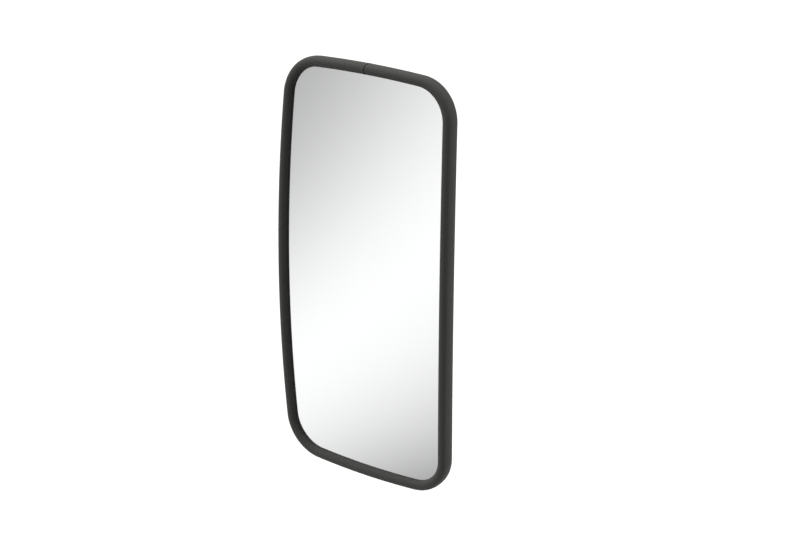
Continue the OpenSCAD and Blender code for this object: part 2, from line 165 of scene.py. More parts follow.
class StageSettings(PropertyGroup):
    azimuth: angle("Azimuth", "Where the camera stands, round from the front", 37.828)
    elevation: angle("Elevation", "How far the camera looks down", 18.989)
    roll: angle("Roll", "Turn of the camera about its line of sight", 0.416)
    distance: length("Distance", "From the camera to the middle of the glass", 1.8959)
    aim_right: length("Aim right", "How far the camera's aim is right of the glass's middle", 34.91 * MM)
    aim_up: length("Aim up", "How far the camera's aim is above the glass's middle", 9.49 * MM)
    lens: FloatProperty(name="Lens", description="Focal length", default=92.894, unit="CAMERA")
    floor_drop: length("Floor drop", "Height of the mirror above the floor", 0.75)
    floor_size: length("Floor size", "Width of the floor", 24.0)
    sky: number("Sky", "Brightness of the soft light all round", 0.10)
    overhead: number("Overhead", "Extra brightness overhead and to the front", 2.15)
    right: number("Right", "Extra brightness at the right and behind", 0.9)
    camera_side: number("Camera side", "What is taken from the light on the camera's side", 1.9)


GROUPS = {
    "mirror_head": HeadSizes,
    "mirror_bead": BeadSizes,
    "mirror_bracket": BracketSizes,
    "mirror_colours": FinishColours,
    "mirror_stage": StageSettings,
}


# ---- Materials ----


class Finish:
    """A material in the making, with short ways to add its nodes and join them."""

    def __init__(self, name, colour_, **constants):
        self.material = bpy.data.materials.new(name)
        self.material.use_nodes = True
        self.tree = self.material.node_tree
        self.shader = self.tree.nodes["Principled BSDF"]
        self.shader.inputs["Base Color"].default_value = (*colour_, 1.0)
        self.material.diffuse_color = (*colour_, 1.0)
        for socket, value in constants.items():
            self.shader.inputs[socket.replace("_", " ")].default_value = value
        self.place = self.add("TexCoord").outputs["Object"]

    def add(self, kind, **settings):
        node = self.tree.nodes.new("ShaderNode" + kind)
        for key, value in settings.items():
            setattr(node, key, value)
        return node

    def feed(self, socket, value):
        if isinstance(value, bpy.types.NodeSocket):
            self.tree.links.new(value, socket)
        else:
            socket.default_value = value

    def mapped(self, scale, vector=None):
        """Object coordinates stretched along each axis."""
        node = self.add("Mapping")
        self.feed(node.inputs["Vector"], vector or self.place)
        node.inputs["Scale"].default_value = scale
        return node.outputs["Vector"]

    def noise(self, scale, detail=3.0, rough=0.5, vector=None):
        node = self.add("TexNoise")
        self.feed(node.inputs["Vector"], vector or self.place)
        node.inputs["Scale"].default_value = scale
        node.inputs["Detail"].default_value = detail
        node.inputs["Roughness"].default_value = rough
        return node.outputs["Fac"]

    def pores(self, scale, vector=None):
        node = self.add("TexVoronoi", feature="F1")
        self.feed(node.inputs["Vector"], vector or self.place)
        node.inputs["Scale"].default_value = scale
        return node.outputs["Distance"]

    def math(self, operation, a, b=0.0, clamp=False):
        node = self.add("Math", operation=operation, use_clamp=clamp)
        self.feed(node.inputs[0], a)
        self.feed(node.inputs[1], b)
        return node.outputs[0]

    def spread(self, value, low, high, to_low, to_high):
        """Maps a value from one range to another, and keeps it inside."""
        node = self.add("MapRange")
        self.feed(node.inputs["Value"], value)
        node.inputs["From Min"].default_value = low
        node.inputs["From Max"].default_value = high
        node.inputs["To Min"].default_value = to_low
        node.inputs["To Max"].default_value = to_high
        return node.outputs["Result"]

    def blend(self, factor, a, b):
        """Goes from colour a to colour b."""
        node = self.add("Mix", data_type="RGBA")
        self.feed(node.inputs["Factor"], factor)
        for socket, value in ((node.inputs[6], a), (node.inputs[7], b)):
            self.feed(socket, (*value, 1.0) if isinstance(value, tuple) else value)
        return node.outputs[2]

    def edges(self):
        """How sharply the surface turns outwards: about 0 on flats and 1 on edges."""
        return self.spread(self.add("NewGeometry").outputs["Pointiness"], 0.52, 0.62, 0.0, 1.0)

    def paint(self, colour_):
        self.feed(self.shader.inputs["Base Color"], colour_)

    def roughness(self, value):
        self.feed(self.shader.inputs["Roughness"], value)

    def bump(self, *layers):
        """Stacks height patterns, each given with its depth."""
        normal = None
        for height, depth in layers:
            node = self.add("Bump")
            node.inputs["Strength"].default_value = 1.0
            node.inputs["Distance"].default_value = depth
            self.feed(node.inputs["Height"], height)
            if normal:
                self.feed(node.inputs["Normal"], normal)
            normal = node.outputs["Normal"]
        self.feed(self.shader.inputs["Normal"], normal)


def tint(colour_, factor, shift=(0.0, 0.0, 0.0)):
    """A colour made lighter or darker, with a small shift of hue."""
    return tuple(min(1.0, c * factor + s) for c, s in zip(colour_, shift))


def bead_rubber(colours):
    """Matt extruded rubber: fine grain, drawn lines along it, and a faint grey bloom."""
    base = tuple(colours.rubber)
    f = Finish("bead_rubber", base, Specular_IOR_Level=0.55)
    across = f.add("Attribute", attribute_name="turn").outputs["Fac"]
    line = f.add("CombineXYZ")
    f.feed(line.inputs["X"], across)
    drawn = f.noise(2600.0, 2.0, 0.6, line.outputs["Vector"])
    cloud = f.noise(24.0, 4.0, 0.6)
    bloom = f.spread(cloud, 0.42, 0.72, 0.0, 0.5)
    dull = f.blend(bloom, tint(base, 0.86), tint(base, 1.30, (0.002, 0.002, 0.001)))
    f.paint(f.blend(f.spread(drawn, 0.35, 0.7, 0.0, 0.35), dull, tint(base, 1.25)))
    f.roughness(f.spread(f.noise(60.0, 3.0), 0.3, 0.7, 0.40, 0.50))
    f.bump((drawn, 0.008 * MM), (f.noise(1500.0, 3.0, 0.6), 0.012 * MM), (f.noise(90.0, 2.0), 0.06 * MM))
    return f.material


def mirror_glass(colours):
    """Silvered glass with the faintest dust."""
    base = tuple(colours.mirror)
    f = Finish("mirror_glass", base, Metallic=1.0)
    dust = f.spread(f.noise(35.0, 5.0, 0.6), 0.45, 0.8, 0.0, 1.0)
    f.paint(f.blend(dust, base, tint(base, 0.992)))
    f.roughness(f.spread(dust, 0.0, 1.0, 0.010, 0.022))
    return f.material


def powder_coat(colours):
    """Fine-textured black powder coat, worn a little on the edges."""
    base = tuple(colours.coating)
    f = Finish("black_paint", base, Specular_IOR_Level=0.5)
    cloud = f.noise(55.0, 4.0)
    worn = f.math("MULTIPLY", f.edges(), f.spread(f.noise(240.0, 4.0), 0.45, 0.6, 0.0, 0.8), True)
    f.paint(f.blend(worn, f.blend(cloud, tint(base, 0.8), tint(base, 1.35)), (0.16, 0.16, 0.165)))
    f.roughness(f.spread(cloud, 0.3, 0.7, 0.40, 0.54))
    f.bump((f.noise(900.0, 2.0), 0.06 * MM), (f.noise(2400.0, 2.0), 0.02 * MM))
    return f.material


def cast_paint(colours):
    """Black paint over a sand casting: coarse orange peel and soft pits."""
    base = tuple(colours.casting)
    f = Finish("cast_black", base, Specular_IOR_Level=0.5)
    pits = f.spread(f.pores(420.0), 0.0, 0.25, 0.0, 1.0)
    cloud = f.noise(70.0, 4.0)
    worn = f.math("MULTIPLY", f.edges(), f.spread(f.noise(300.0, 4.0), 0.48, 0.62, 0.0, 0.7), True)
    f.paint(f.blend(worn, f.blend(cloud, tint(base, 0.75), tint(base, 1.4)), (0.20, 0.20, 0.205)))
    f.roughness(f.spread(cloud, 0.3, 0.7, 0.42, 0.60))
    f.bump((f.noise(480.0, 3.0, 0.55), 0.14 * MM), (pits, 0.03 * MM))
    return f.material


def shell_paint(colours):
    """Satin black paint on pressed steel: very slight waves and a fine spray grain."""
    base = tuple(colours.pressing)
    f = Finish("shell_paint", base, Specular_IOR_Level=0.5, Coat_Weight=0.15, Coat_Roughness=0.25)
    cloud = f.noise(18.0, 4.0)
    scuff = f.spread(f.noise(90.0, 6.0, 0.7, f.mapped((1.0, 1.0, 0.25))), 0.60, 0.72, 0.0, 0.35)
    f.paint(f.blend(scuff, f.blend(cloud, tint(base, 0.85), tint(base, 1.3)), (0.07, 0.07, 0.07)))
    f.roughness(f.spread(f.noise(130.0, 4.0), 0.3, 0.7, 0.30, 0.42))
    f.bump((f.noise(14.0, 1.0), 0.25 * MM), (f.noise(1300.0, 2.0), 0.015 * MM))
    return f.material


def zinc_plate(colours):
    """Bright zinc: bluish, with patches of faint yellow and fine turning marks."""
    base = tuple(colours.zinc)
    f = Finish("zinc", base, Metallic=1.0)
    cloud = f.noise(120.0, 4.0, 0.6)
    f.paint(f.blend(cloud, tint(base, 0.93, (0.0, 0.005, 0.02)), tint(base, 1.04, (0.02, 0.01, -0.03))))
    f.roughness(f.spread(f.noise(500.0, 4.0), 0.3, 0.7, 0.22, 0.36))
    f.bump((f.noise(1.0, 2.0, 0.5, f.mapped((260.0, 5200.0, 260.0))), 0.008 * MM))
    return f.material


def spring_steel(colours):
    """Plain spring steel, oiled and slightly brushed."""
    base = tuple(colours.spring)
    f = Finish("spring_steel", base, Metallic=1.0)
    brushed = f.noise(1.0, 3.0, 0.6, f.mapped((180.0, 180.0, 3200.0)))
    cloud = f.noise(80.0, 4.0)
    f.paint(f.blend(cloud, tint(base, 0.82, (0.01, 0.005, 0.0)), tint(base, 1.12)))
    f.roughness(f.spread(brushed, 0.3, 0.7, 0.28, 0.46))
    f.bump((brushed, 0.010 * MM))
    return f.material


def moulded(name, base, grain, rough, **constants):
    """Moulded nylon: a matt skin with slow flow marks."""
    f = Finish(name, base, **constants)
    flow = f.noise(1.0, 3.0, 0.5, f.mapped((60.0, 60.0, 160.0)))
    f.paint(f.blend(flow, tint(base, 0.90), tint(base, 1.06)))
    f.roughness(f.spread(f.noise(200.0, 3.0), 0.3, 0.7, rough - 0.06, rough + 0.08))
    f.bump((f.noise(grain, 2.0), 0.02 * MM))
    return f.material


def nylon(colours):
    return moulded("nylon", tuple(colours.nylon), 1200.0, 0.46, Subsurface_Weight=0.12,
                   Subsurface_Radius=(0.004, 0.003, 0.002), Subsurface_Scale=0.5)


def nylon_insert(colours):
    return moulded("nylon_insert", tuple(colours.insert), 1500.0, 0.38)


def gasket_rubber(colours):
    return moulded("gasket_rubber", tuple(colours.gasket), 900.0, 0.72)


def foam(colours):
    """Closed-cell foam: a skin of small bubbles."""
    base = tuple(colours.foam)
    f = Finish("foam", base, Specular_IOR_Level=0.3)
    cells = f.pores(520.0)
    f.paint(f.blend(f.spread(cells, 0.1, 0.7, 0.0, 1.0), tint(base, 1.5), tint(base, 0.7)))
    f.roughness(f.spread(f.noise(90.0, 3.0), 0.3, 0.7, 0.85, 0.95))
    f.bump((cells, 0.25 * MM))
    return f.material


def film(colours):
    """Grey safety film with the faint mottling of its adhesive."""
    base = tuple(colours.film)
    f = Finish("film", base)
    mottle = f.noise(140.0, 5.0, 0.6)
    f.paint(f.blend(mottle, tint(base, 0.88), tint(base, 1.10)))
    f.roughness(f.spread(mottle, 0.3, 0.7, 0.34, 0.5))
    f.bump((f.noise(300.0, 3.0), 0.02 * MM))
    return f.material


FINISHES = {
    "bead_rubber": bead_rubber,
    "mirror_glass": mirror_glass,
    "black_paint": powder_coat,
    "cast_black": cast_paint,
    "shell_paint": shell_paint,
    "zinc": zinc_plate,
    "spring_steel": spring_steel,
    "nylon": nylon,
    "nylon_insert": nylon_insert,
    "gasket_rubber": gasket_rubber,
    "foam": foam,
    "film": film,
}


def finish_of(slot):
    """The material of a slot, made when it is first wanted."""
    found = bpy.data.materials.get(slot)
    return found or FINISHES[slot](bpy.context.scene.mirror_colours)


# ---- Mesh helpers ----


def arc(centre, radius, start, end, steps):
    """Points along an arc, with both of its ends; the angles are in radians."""
    return [(centre[0] + radius * cos(start + (end - start) * i / steps),
             centre[1] + radius * sin(start + (end - start) * i / steps)) for i in range(steps + 1)]


def turned(profile, origin, axis, side, steps=64):
    """A closed body of revolution; profile is (distance along the axis, radius) from end to end."""
    bm = bmesh.new()
    line = [bm.verts.new(origin + axis * along + side * radius) for along, radius in profile]
    edges = [bm.edges.new(pair) for pair in zip(line, line[1:])]
    bmesh.ops.spin(bm, geom=line + edges, cent=origin, axis=axis, angle=tau, steps=steps, use_merge=True)
    bmesh.ops.remove_doubles(bm, verts=bm.verts, dist=1e-7)
    bmesh.ops.recalc_face_normals(bm, faces=bm.faces)
    return bm


def turned_ring(outline, origin, axis, side, steps=64):
    """A ring; outline is its closed section as (distance along the axis, radius) pairs."""
    bm = bmesh.new()
    line = [bm.verts.new(origin + axis * along + side * radius) for along, radius in outline]
    edges = [bm.edges.new(pair) for pair in zip(line, line[1:] + line[:1])]
    bmesh.ops.spin(bm, geom=line + edges, cent=origin, axis=axis, angle=tau, steps=steps, use_merge=True)
    bmesh.ops.recalc_face_normals(bm, faces=bm.faces)
    return bm


def chamfered(low, high, radius, edge):
    """Turning profile of a plain pin from low to high with a chamfer at both ends."""
    return [(low, 0), (low, radius - edge), (low + edge, radius), (high - edge, radius),
            (high, radius - edge), (high, 0)]


def block(low, high):
    bm = bmesh.new()
    bmesh.ops.create_cube(bm, size=1.0)
    bmesh.ops.scale(bm, vec=high - low, verts=bm.verts)
    bmesh.ops.translate(bm, vec=(low + high) / 2, verts=bm.verts)
    return bm


def slab(low, high, corner):
    """A plate that stands up, from the front at low.y to the back at high.y, with rounded corners."""
    outline = []
    for quarter, (sx, sz) in enumerate(((1, 1), (-1, 1), (-1, -1), (1, -1))):
        x = (high.x if sx > 0 else low.x) - sx * corner
        z = (high.z if sz > 0 else low.z) - sz * corner
        outline += arc((x, z), corner, quarter * pi / 2, (quarter + 1) * pi / 2, 10)
    bm = bmesh.new()
    face = bm.faces.new([bm.verts.new((x, low.y, z)) for x, z in outline])
    made = bmesh.ops.extrude_face_region(bm, geom=[face])
    moved = [v for v in made["geom"] if isinstance(v, bmesh.types.BMVert)]
    bmesh.ops.translate(bm, vec=(0, high.y - low.y, 0), verts=moved)
    bmesh.ops.recalc_face_normals(bm, faces=bm.faces)
    return bm


def prism(radius, low, high, origin, axis, side, sides=6):
    """A prism about an axis, such as a hexagon, with one corner towards side."""
    bm = bmesh.new()
    bmesh.ops.create_cone(bm, cap_ends=True, segments=sides, radius1=radius, radius2=radius,
                          depth=high - low)
    frame_ = Matrix((side, axis.cross(side), axis)).transposed().to_4x4()
    start = next(v.co.copy() for v in bm.verts)
    turn = Matrix.Rotation(-atan2(start.y, start.x), 4, "Z")
    bmesh.ops.transform(bm, matrix=frame_ @ turn, verts=bm.verts)
    bmesh.ops.translate(bm, vec=origin + axis * (low + high) / 2, verts=bm.verts)
    return bm


def joined(*parts):
    """Several closed bodies in one mesh."""
    bm = bmesh.new()
    for part in parts:
        mesh = bpy.data.meshes.new("part")
        part.to_mesh(mesh)
        part.free()
        bm.from_mesh(mesh)
        bpy.data.meshes.remove(mesh)
    return bm


def held(bm, name):
    """A passing object that holds a mesh while a modifier works on it."""
    mesh = bpy.data.meshes.new(name)
    bm.to_mesh(mesh)
    bm.free()
    obj = bpy.data.objects.new(name, mesh)
    bpy.context.scene.collection.objects.link(obj)
    return obj


def combined(bm, tool, operation):
    """Joins a tool body to a body (UNION), takes it away (DIFFERENCE) or keeps what they share."""
    body, cutter = held(bm, "body"), held(tool, "cutter")
    modifier = body.modifiers.new("combine", "BOOLEAN")
    modifier.operation = operation
    modifier.object = cutter
    modifier.solver = "EXACT"
    modifier.use_self = False
    bpy.context.view_layer.update()
    mesh = bpy.data.meshes.new_from_object(body.evaluated_get(bpy.context.evaluated_depsgraph_get()))
    out = bmesh.new()
    out.from_mesh(mesh)
    bpy.data.meshes.remove(mesh)
    for obj in (body, cutter):
        data = obj.data
        bpy.data.objects.remove(obj)
        bpy.data.meshes.remove(data)
    bmesh.ops.remove_doubles(out, verts=out.verts, dist=2e-6)
    bmesh.ops.dissolve_limit(out, angle_limit=radians(1.0), verts=out.verts, edges=out.edges)
    return out


def soften(bm, width, above=40.0, segments=3):
    """Rounds every edge that is sharper than an angle in degrees."""
    sharp = [e for e in bm.edges if len(e.link_faces) == 2 and e.calc_face_angle(0.0) > radians(above)]
    bmesh.ops.bevel(bm, geom=sharp, offset=width, offset_type="OFFSET", segments=segments,
                    profile=0.5, affect="EDGES", clamp_overlap=True, material=-1)
    return bm


def piece(name, bm, slot, body, *stands_for, smooth_below=40.0, weighted=True):
    """Turns a finished mesh into a named piece that rides on a body."""
    for face in bm.faces:
        face.smooth = True
    for edge in bm.edges:
        edge.smooth = edge.calc_face_angle(0.0) < radians(smooth_below)
    obj = held(bm, name)
    obj.data.materials.append(finish_of(slot))
    if weighted:
        modifier = obj.modifiers.new("Weighted Normal", "WEIGHTED_NORMAL")
        modifier.keep_sharp = True
    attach(obj, body)
    if stands_for:
        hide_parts(*stands_for)
    return obj


# ---- The head's shape ----


class HeadShape:
    """Glass, shell and bead follow spheres about one centre, and the rim follows circles on them."""

    def __init__(self, scene):
        self.sizes = scene.mirror_head
        self.bead = scene.mirror_bead
        s = self.sizes
        self.centre = BALL + FORWARD * (s.glass_reach - s.glass_radius)
        self.r_glass = s.glass_radius
        self.r_film_back = s.glass_radius - s.glass - s.film
        self.r_flange_back = self.r_film_back - s.shell
        self.r_tray_back = self.r_film_back - s.tray_depth - s.shell
        self.grip = s.glass + s.film + s.shell
        self.r_bead = s.glass_radius - self.grip / 2
        self.mid_w = (s.width - self.bead.width) / 2
        self.mid_h = (s.height - self.bead.width) / 2
        self.side_r = (self.mid_h ** 2 + s.side_bow ** 2) / (2 * s.side_bow)
        self.end_r = (self.mid_w ** 2 + s.end_bow ** 2) / (2 * s.end_bow)
        self.find_corner(s.corner_radius)
        self.find_circles(s.corner_radius)

    def find_corner(self, corner_r):
        """Centre of the corner arc in the front view, and where it meets the side and the end."""
        side_c = Vector((self.mid_w - self.side_r, 0))
        end_c = Vector((0, self.mid_h - self.end_r))
        reach_a = self.side_r - corner_r
        reach_b = self.end_r - corner_r
        apart = (end_c - side_c).length
        along = (reach_a ** 2 - reach_b ** 2 + apart ** 2) / (2 * apart)
        across = sqrt(reach_a ** 2 - along ** 2)
        way = (end_c - side_c) / apart
        self.corner = side_c + way * along + Vector((-way.y, way.x)) * across
        self.side_c = side_c
        self.end_c = end_c
        self.side_turn = atan2(self.corner.y, self.corner.x - side_c.x)
        self.end_turn = atan2(self.corner.y - end_c.y, self.corner.x)

    def find_circles(self, corner_r):
        """Axes and angular radii of the circles on the bead's sphere that its edges follow."""

        def circle_angle(radius, rim):
            return atan2(cos(rim), self.r_bead / radius - sin(rim))

        def square_to(v, axis):
            return (v - axis * v.dot(axis)).normalized()

        self.rim_end = asin(self.mid_h / self.r_bead)
        rim_side = asin(self.mid_w / self.r_bead)
        side_angle = circle_angle(self.side_r, rim_side)
        end_angle = circle_angle(self.end_r, self.rim_end)
        corner_angle = asin(corner_r / self.r_bead)
        lean_side = rim_side - side_angle
        lean_end = self.rim_end - end_angle
        self.side_axis = Vector((sin(lean_side), -cos(lean_side), 0))
        self.end_axis = Vector((0, -cos(lean_end), sin(lean_end)))
        side_out = Vector((cos(lean_side), sin(lean_side), 0))
        end_out = Vector((0, sin(lean_end), cos(lean_end)))
        k1 = cos(side_angle - corner_angle)
        k2 = cos(end_angle - corner_angle)
        sx, sy = self.side_axis.x, self.side_axis.y
        ey, ez = self.end_axis.y, self.end_axis.z
        qa = (sy / sx) ** 2 + 1 + (ey / ez) ** 2
        qb = -2 * (k1 * sy / sx ** 2 + k2 * ey / ez ** 2)
        qc = (k1 / sx) ** 2 + (k2 / ez) ** 2 - 1
        y = (-qb - sqrt(qb * qb - 4 * qa * qc)) / (2 * qa)
        self.corner_axis = Vector(((k1 - sy * y) / sx, y, (k2 - ey * y) / ez))
        self.side_half = acos(square_to(self.corner_axis, self.side_axis).dot(side_out))
        self.end_half = acos(square_to(self.corner_axis, self.end_axis).dot(end_out))
        from_side = -square_to(self.side_axis, self.corner_axis)
        from_end = -square_to(self.end_axis, self.corner_axis)
        self.corner_sweep = acos(from_side.dot(from_end))

    def rim(self, u, v, grow):
        """Where a point on the edge of the unit square goes on the outline, grown outwards."""
        s = self.sizes
        a = self.side_r * self.side_turn
        b = s.corner_radius * (self.end_turn - self.side_turn)
        c = self.end_r * (pi / 2 - self.end_turn)
        x, z = abs(u), abs(v)
        run = z / x * (a + b / 2) if x >= z else a + b + c - x / z * (b / 2 + c)
        if run < a:
            middle, radius, turn = self.side_c, self.side_r, run / self.side_r
        elif run < a + b:
            middle, radius = self.corner, s.corner_radius
            turn = self.side_turn + (run - a) / radius
        else:
            middle, radius = self.end_c, self.end_r
            turn = self.end_turn + (run - a - b) / radius
        px = middle.x + (radius + grow) * cos(turn)
        pz = middle.y + (radius + grow) * sin(turn)
        return (px if u >= 0 else -px), (pz if v >= 0 else -pz)

    def on_sphere(self, x, z, radius):
        """Point of a layer's sphere that is seen at x, z from the front."""
        return Vector((x, self.centre.y - sqrt(radius ** 2 - x * x - z * z), z))

    def spread(self, u, v, grow):
        """Front-view place of any point of the unit square."""
        m = max(abs(u), abs(v))
        if m < 1e-9:
            return 0.0, 0.0
        x, z = self.rim(u / m, v / m, grow)
        return x * m, z * m


def sheet_on_sphere(head, across, up, grow, height):
    """A grid laid on a sphere inside the outline; height(x, z) gives each point's radius.
    Each vertex keeps its place in the unit square in the layer 'square'."""
    bm = bmesh.new()
    bmesh.ops.create_grid(bm, x_segments=across, y_segments=up, size=1.0)
    square = bm.verts.layers.float_vector.new("square")
    for v in bm.verts:
        v[square] = v.co.copy()
        x, z = head.spread(v.co.x, v.co.y, grow)
        v.co = head.on_sphere(x, z, height(x, z))
    return bm


def face_towards(bm, direction):
    """Turns an open sheet's faces so that they look the given way."""
    facing = sum((f.normal.dot(direction) * f.calc_area() for f in bm.faces), 0.0)
    if facing < 0:
        bmesh.ops.reverse_faces(bm, faces=bm.faces)


# ---- Pieces of the head ----


class MIRROR_OT_glass(Operator):
    """Adds the silvered convex glass"""
    bl_idname = "mirror.glass"
    bl_label = "Mirror Glass"

    def execute(self, context):
        head = HeadShape(context.scene)
        s = head.sizes
        bm = sheet_on_sphere(head, 96, 192, s.edge_reach, lambda x, z: head.r_glass)
        bm.normal_update()
        face_towards(bm, FORWARD)
        faces = list(bm.faces)
        bmesh.ops.solidify(bm, geom=faces, thickness=s.glass)
        bm.normal_update()
        rim = [e for e in bm.edges if e.calc_face_angle(0.0) > radians(60)]
        bmesh.ops.bevel(bm, geom=rim, offset=0.4 * MM, offset_type="OFFSET", segments=2, profile=0.5,
                        affect="EDGES", material=-1)
        bmesh.ops.recalc_face_normals(bm, faces=bm.faces)
        piece("mirror_glass_pane", bm, "mirror_glass", "mirror_head", "mirror_glass", weighted=False)
        return {"FINISHED"}


def half_section(bead, slot_edge):
    """Points of the bead from the rounded lip of its slot to the middle of its outer flank, about
    the oval's own middle: x outwards along the glass, y away from the slot."""
    a, rise, nose = bead.width / 2, bead.depth / 2 - bead.nose, bead.nose
    flank = (rise ** 2 + a ** 2 - nose ** 2) / (2 * (a - nose))
    meet = asin(rise / (flank - nose))
    lip_y = slot_edge + bead.lip
    lip_x = flank - a - sqrt((flank - bead.lip) ** 2 - lip_y ** 2)
    lip_turn = pi - asin(lip_y / (flank - bead.lip))
    points = arc((lip_x, lip_y), bead.lip, 1.5 * pi, lip_turn, 4)
    points += arc((flank - a, 0), flank, lip_turn, pi - meet, 4)[1:]
    points += arc((0, rise), nose, pi - meet, meet, 22)[1:]
    return points + arc((a - flank, 0), flank, meet, 0, 4)[1:]


def bead_section(bead, grip):
    """The bead's closed section, clockwise from the slot: x outwards along the glass, y forwards."""
    half = grip / 2 + bead.slot_play
    round_ = 0.5 * MM
    front = [(x, y - bead.set_back) for x, y in half_section(bead, half + bead.set_back)]
    back = [(x, -y - bead.set_back) for x, y in reversed(half_section(bead, half - bead.set_back))]
    corner = arc((bead.slot_reach - round_, -half + round_), round_, -pi / 2, 0, 3)
    bottom = corner + [(x, -y) for x, y in reversed(corner)]
    return front + back[1:] + bottom


class MIRROR_OT_bead(Operator):
    """Adds the rubber edge bead, one length whose ends meet at the middle of the top edge"""
    bl_idname = "mirror.bead"
    bl_label = "Edge Bead"

    def execute(self, context):
        head = HeadShape(context.scene)
        bead = head.bead
        radial = Vector((0, -cos(head.rim_end), sin(head.rim_end)))
        out = Vector((0, sin(head.rim_end), cos(head.rim_end)))
        middle = head.centre + radial * head.r_bead
        bm = bmesh.new()
        turn = bm.verts.layers.float.new("turn")
        section = bead_section(bead, head.grip)
        first, run = [], 0.0
        for i, (x, y) in enumerate(section):
            v = bm.verts.new(middle + out * x + radial * y)
            run += hypot(x - section[i - 1][0], y - section[i - 1][1])
            v[turn] = run
            first.append(v)
        geom = first + [bm.edges.new(pair) for pair in zip(first, first[1:] + first[:1])]

        def sweep(axis, amount, steps):
            nonlocal geom
            made = bmesh.ops.spin(bm, geom=geom, cent=head.centre, axis=axis, angle=-amount, steps=steps)
            geom = made["geom_last"]
            return [g for g in geom if isinstance(g, bmesh.types.BMVert)]

        # Places along the bead just after and just before the joint, and how far it is shrunk there
        after = [(0.28, -1.0), (0.46, -0.7), (0.62, -0.15), (1.10, 0.0)]
        before = [(2.6, 0.0), (1.8, 0.6), (1.15, 1.0), (0.70, 0.5), (0.48, -0.7), (0.28, -1.0)]
        rings = []
        done = 0.0
        for place, depth in after:
            rings.append((sweep(head.end_axis, place * MM / head.end_r - done, 1), depth))
            done = place * MM / head.end_r
        sweep(head.end_axis, head.end_half - done, 30)
        x, y, z = head.corner_axis
        side, end = head.side_axis, head.end_axis
        sweep(Vector((x, y, z)), head.corner_sweep, 34)
        sweep(Vector(side), 2 * head.side_half, 90)
        sweep(Vector((x, y, -z)), head.corner_sweep, 34)
        sweep(Vector((0, end.y, -end.z)), 2 * head.end_half, 60)
        sweep(Vector((-x, y, -z)), head.corner_sweep, 34)
        sweep(Vector((-side.x, side.y, 0)), 2 * head.side_half, 90)
        sweep(Vector((-x, y, z)), head.corner_sweep, 34)
        left = head.end_half
        for place, depth in before:
            steps = 30 if place == before[0][0] else 1
            rings.append((sweep(head.end_axis, left - place * MM / head.end_r, steps), depth))
            left = place * MM / head.end_r
        last = sweep(head.end_axis, left, 1)
        bmesh.ops.weld_verts(bm, targetmap=dict(zip(last, first)))
        rings.append((first, -1.0))
        for ring, depth in rings:
            amount = depth * (bead.groove if depth < 0 else bead.swell)
            centre = sum((v.co for v in ring), Vector()) / len(ring)
            centre = head.centre + (centre - head.centre).normalized() * head.r_bead
            across = (out - out.project(centre - head.centre)).normalized()
            outward = (centre - head.centre).normalized()
            for v in ring:
                away = v.co - centre
                v.co += across * (away.dot(across) * amount / (bead.width / 2))
                v.co += outward * (away.dot(outward) * amount / (bead.depth / 2))
        bmesh.ops.recalc_face_normals(bm, faces=bm.faces)
        piece("edge_bead_rubber", bm, "bead_rubber", "mirror_head", "edge_bead", smooth_below=50.0,
              weighted=False)
        return {"FINISHED"}


class MIRROR_OT_shell(Operator):
    """Adds the pressed back shell with its flange, tray and ribs"""
    bl_idname = "mirror.shell"
    bl_label = "Back Shell"

    def execute(self, context):
        head = HeadShape(context.scene)
        s = head.sizes
        rib_w = 9 * MM
        ribs = [(sx * 38 * MM, sz * 96 * MM, sz * 150 * MM) for sx in (-1, 0, 1) for sz in (-1, 1)]

        def height(x, z):
            lift = 0.0
            for rib_x, from_z, to_z in ribs:
                near = min(max(z, min(from_z, to_z)), max(from_z, to_z))
                t = 1 - min(1.0, hypot(x - rib_x, z - near) / rib_w)
                lift = max(lift, t * t * (3 - 2 * t))
            return head.r_tray_back - min(1.0, 1.6 * lift) * s.rib_height

        floor_round, flange_round = 4 * MM, 2.4 * MM
        grow = -s.tray_inset - floor_round
        bm = sheet_on_sphere(head, 84, 190, grow, height)
        square = bm.verts.layers.float_vector["square"]
        profile = arc((grow, head.r_tray_back + floor_round), floor_round, -pi / 2, 0, 7)[1:]
        flange_c = (-s.tray_inset + flange_round, head.r_flange_back - flange_round)
        profile += arc(flange_c, flange_round, pi, pi / 2, 5)
        profile += [(-s.tray_inset / 2, head.r_flange_back), (s.edge_reach, head.r_flange_back)]
        for grow, radius in profile:
            edge = [e for e in bm.edges if e.is_boundary]
            made = bmesh.ops.extrude_edge_only(bm, edges=edge)
            for v in made["geom"]:
                if isinstance(v, bmesh.types.BMVert):
                    x, z = head.rim(v[square].x, v[square].y, grow)
                    v.co = head.on_sphere(x, z, radius)
        bm.normal_update()
        bmesh.ops.recalc_face_normals(bm, faces=bm.faces)
        face_towards(bm, -FORWARD)
        bmesh.ops.solidify(bm, geom=list(bm.faces), thickness=s.shell)
        bmesh.ops.recalc_face_normals(bm, faces=bm.faces)
        bush_hole = chamfered(20 * MM, 40 * MM, 6 * MM, 0.1 * MM)
        bm = combined(bm, turned(bush_hole, BALL, FORWARD, RIGHT), "DIFFERENCE")
        piece("back_shell_pressing", bm, "shell_paint", "mirror_head", "back_shell", weighted=False)
        return {"FINISHED"}


# ---- Pieces on the stud's axis ----


def span(name):
    """How far in front of the ball's centre a node starts and ends, and its widest radius."""
    low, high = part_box(name)
    return BALL.y - high.y, BALL.y - low.y, high.x


def on_stud(profile, steps=64):
    return turned(profile, BALL, FORWARD, RIGHT, steps)


def hexagon(radius, low, high, origin, axis, side):
    """A hexagon whose corners are chamfered at both ends, like a nut's."""
    cone = turned(chamfered(low, high, radius, 0.1 * radius), origin, axis, side)
    return combined(prism(radius, low, high, origin, axis, side), cone, "INTERSECT")


def rivet_centres(sizes):
    turns = [tau * (i + 0.5) / sizes.rivets for i in range(sizes.rivets)]
    return [BALL + (RIGHT * cos(t) + UP * sin(t)) * sizes.rivet_ring for t in turns]


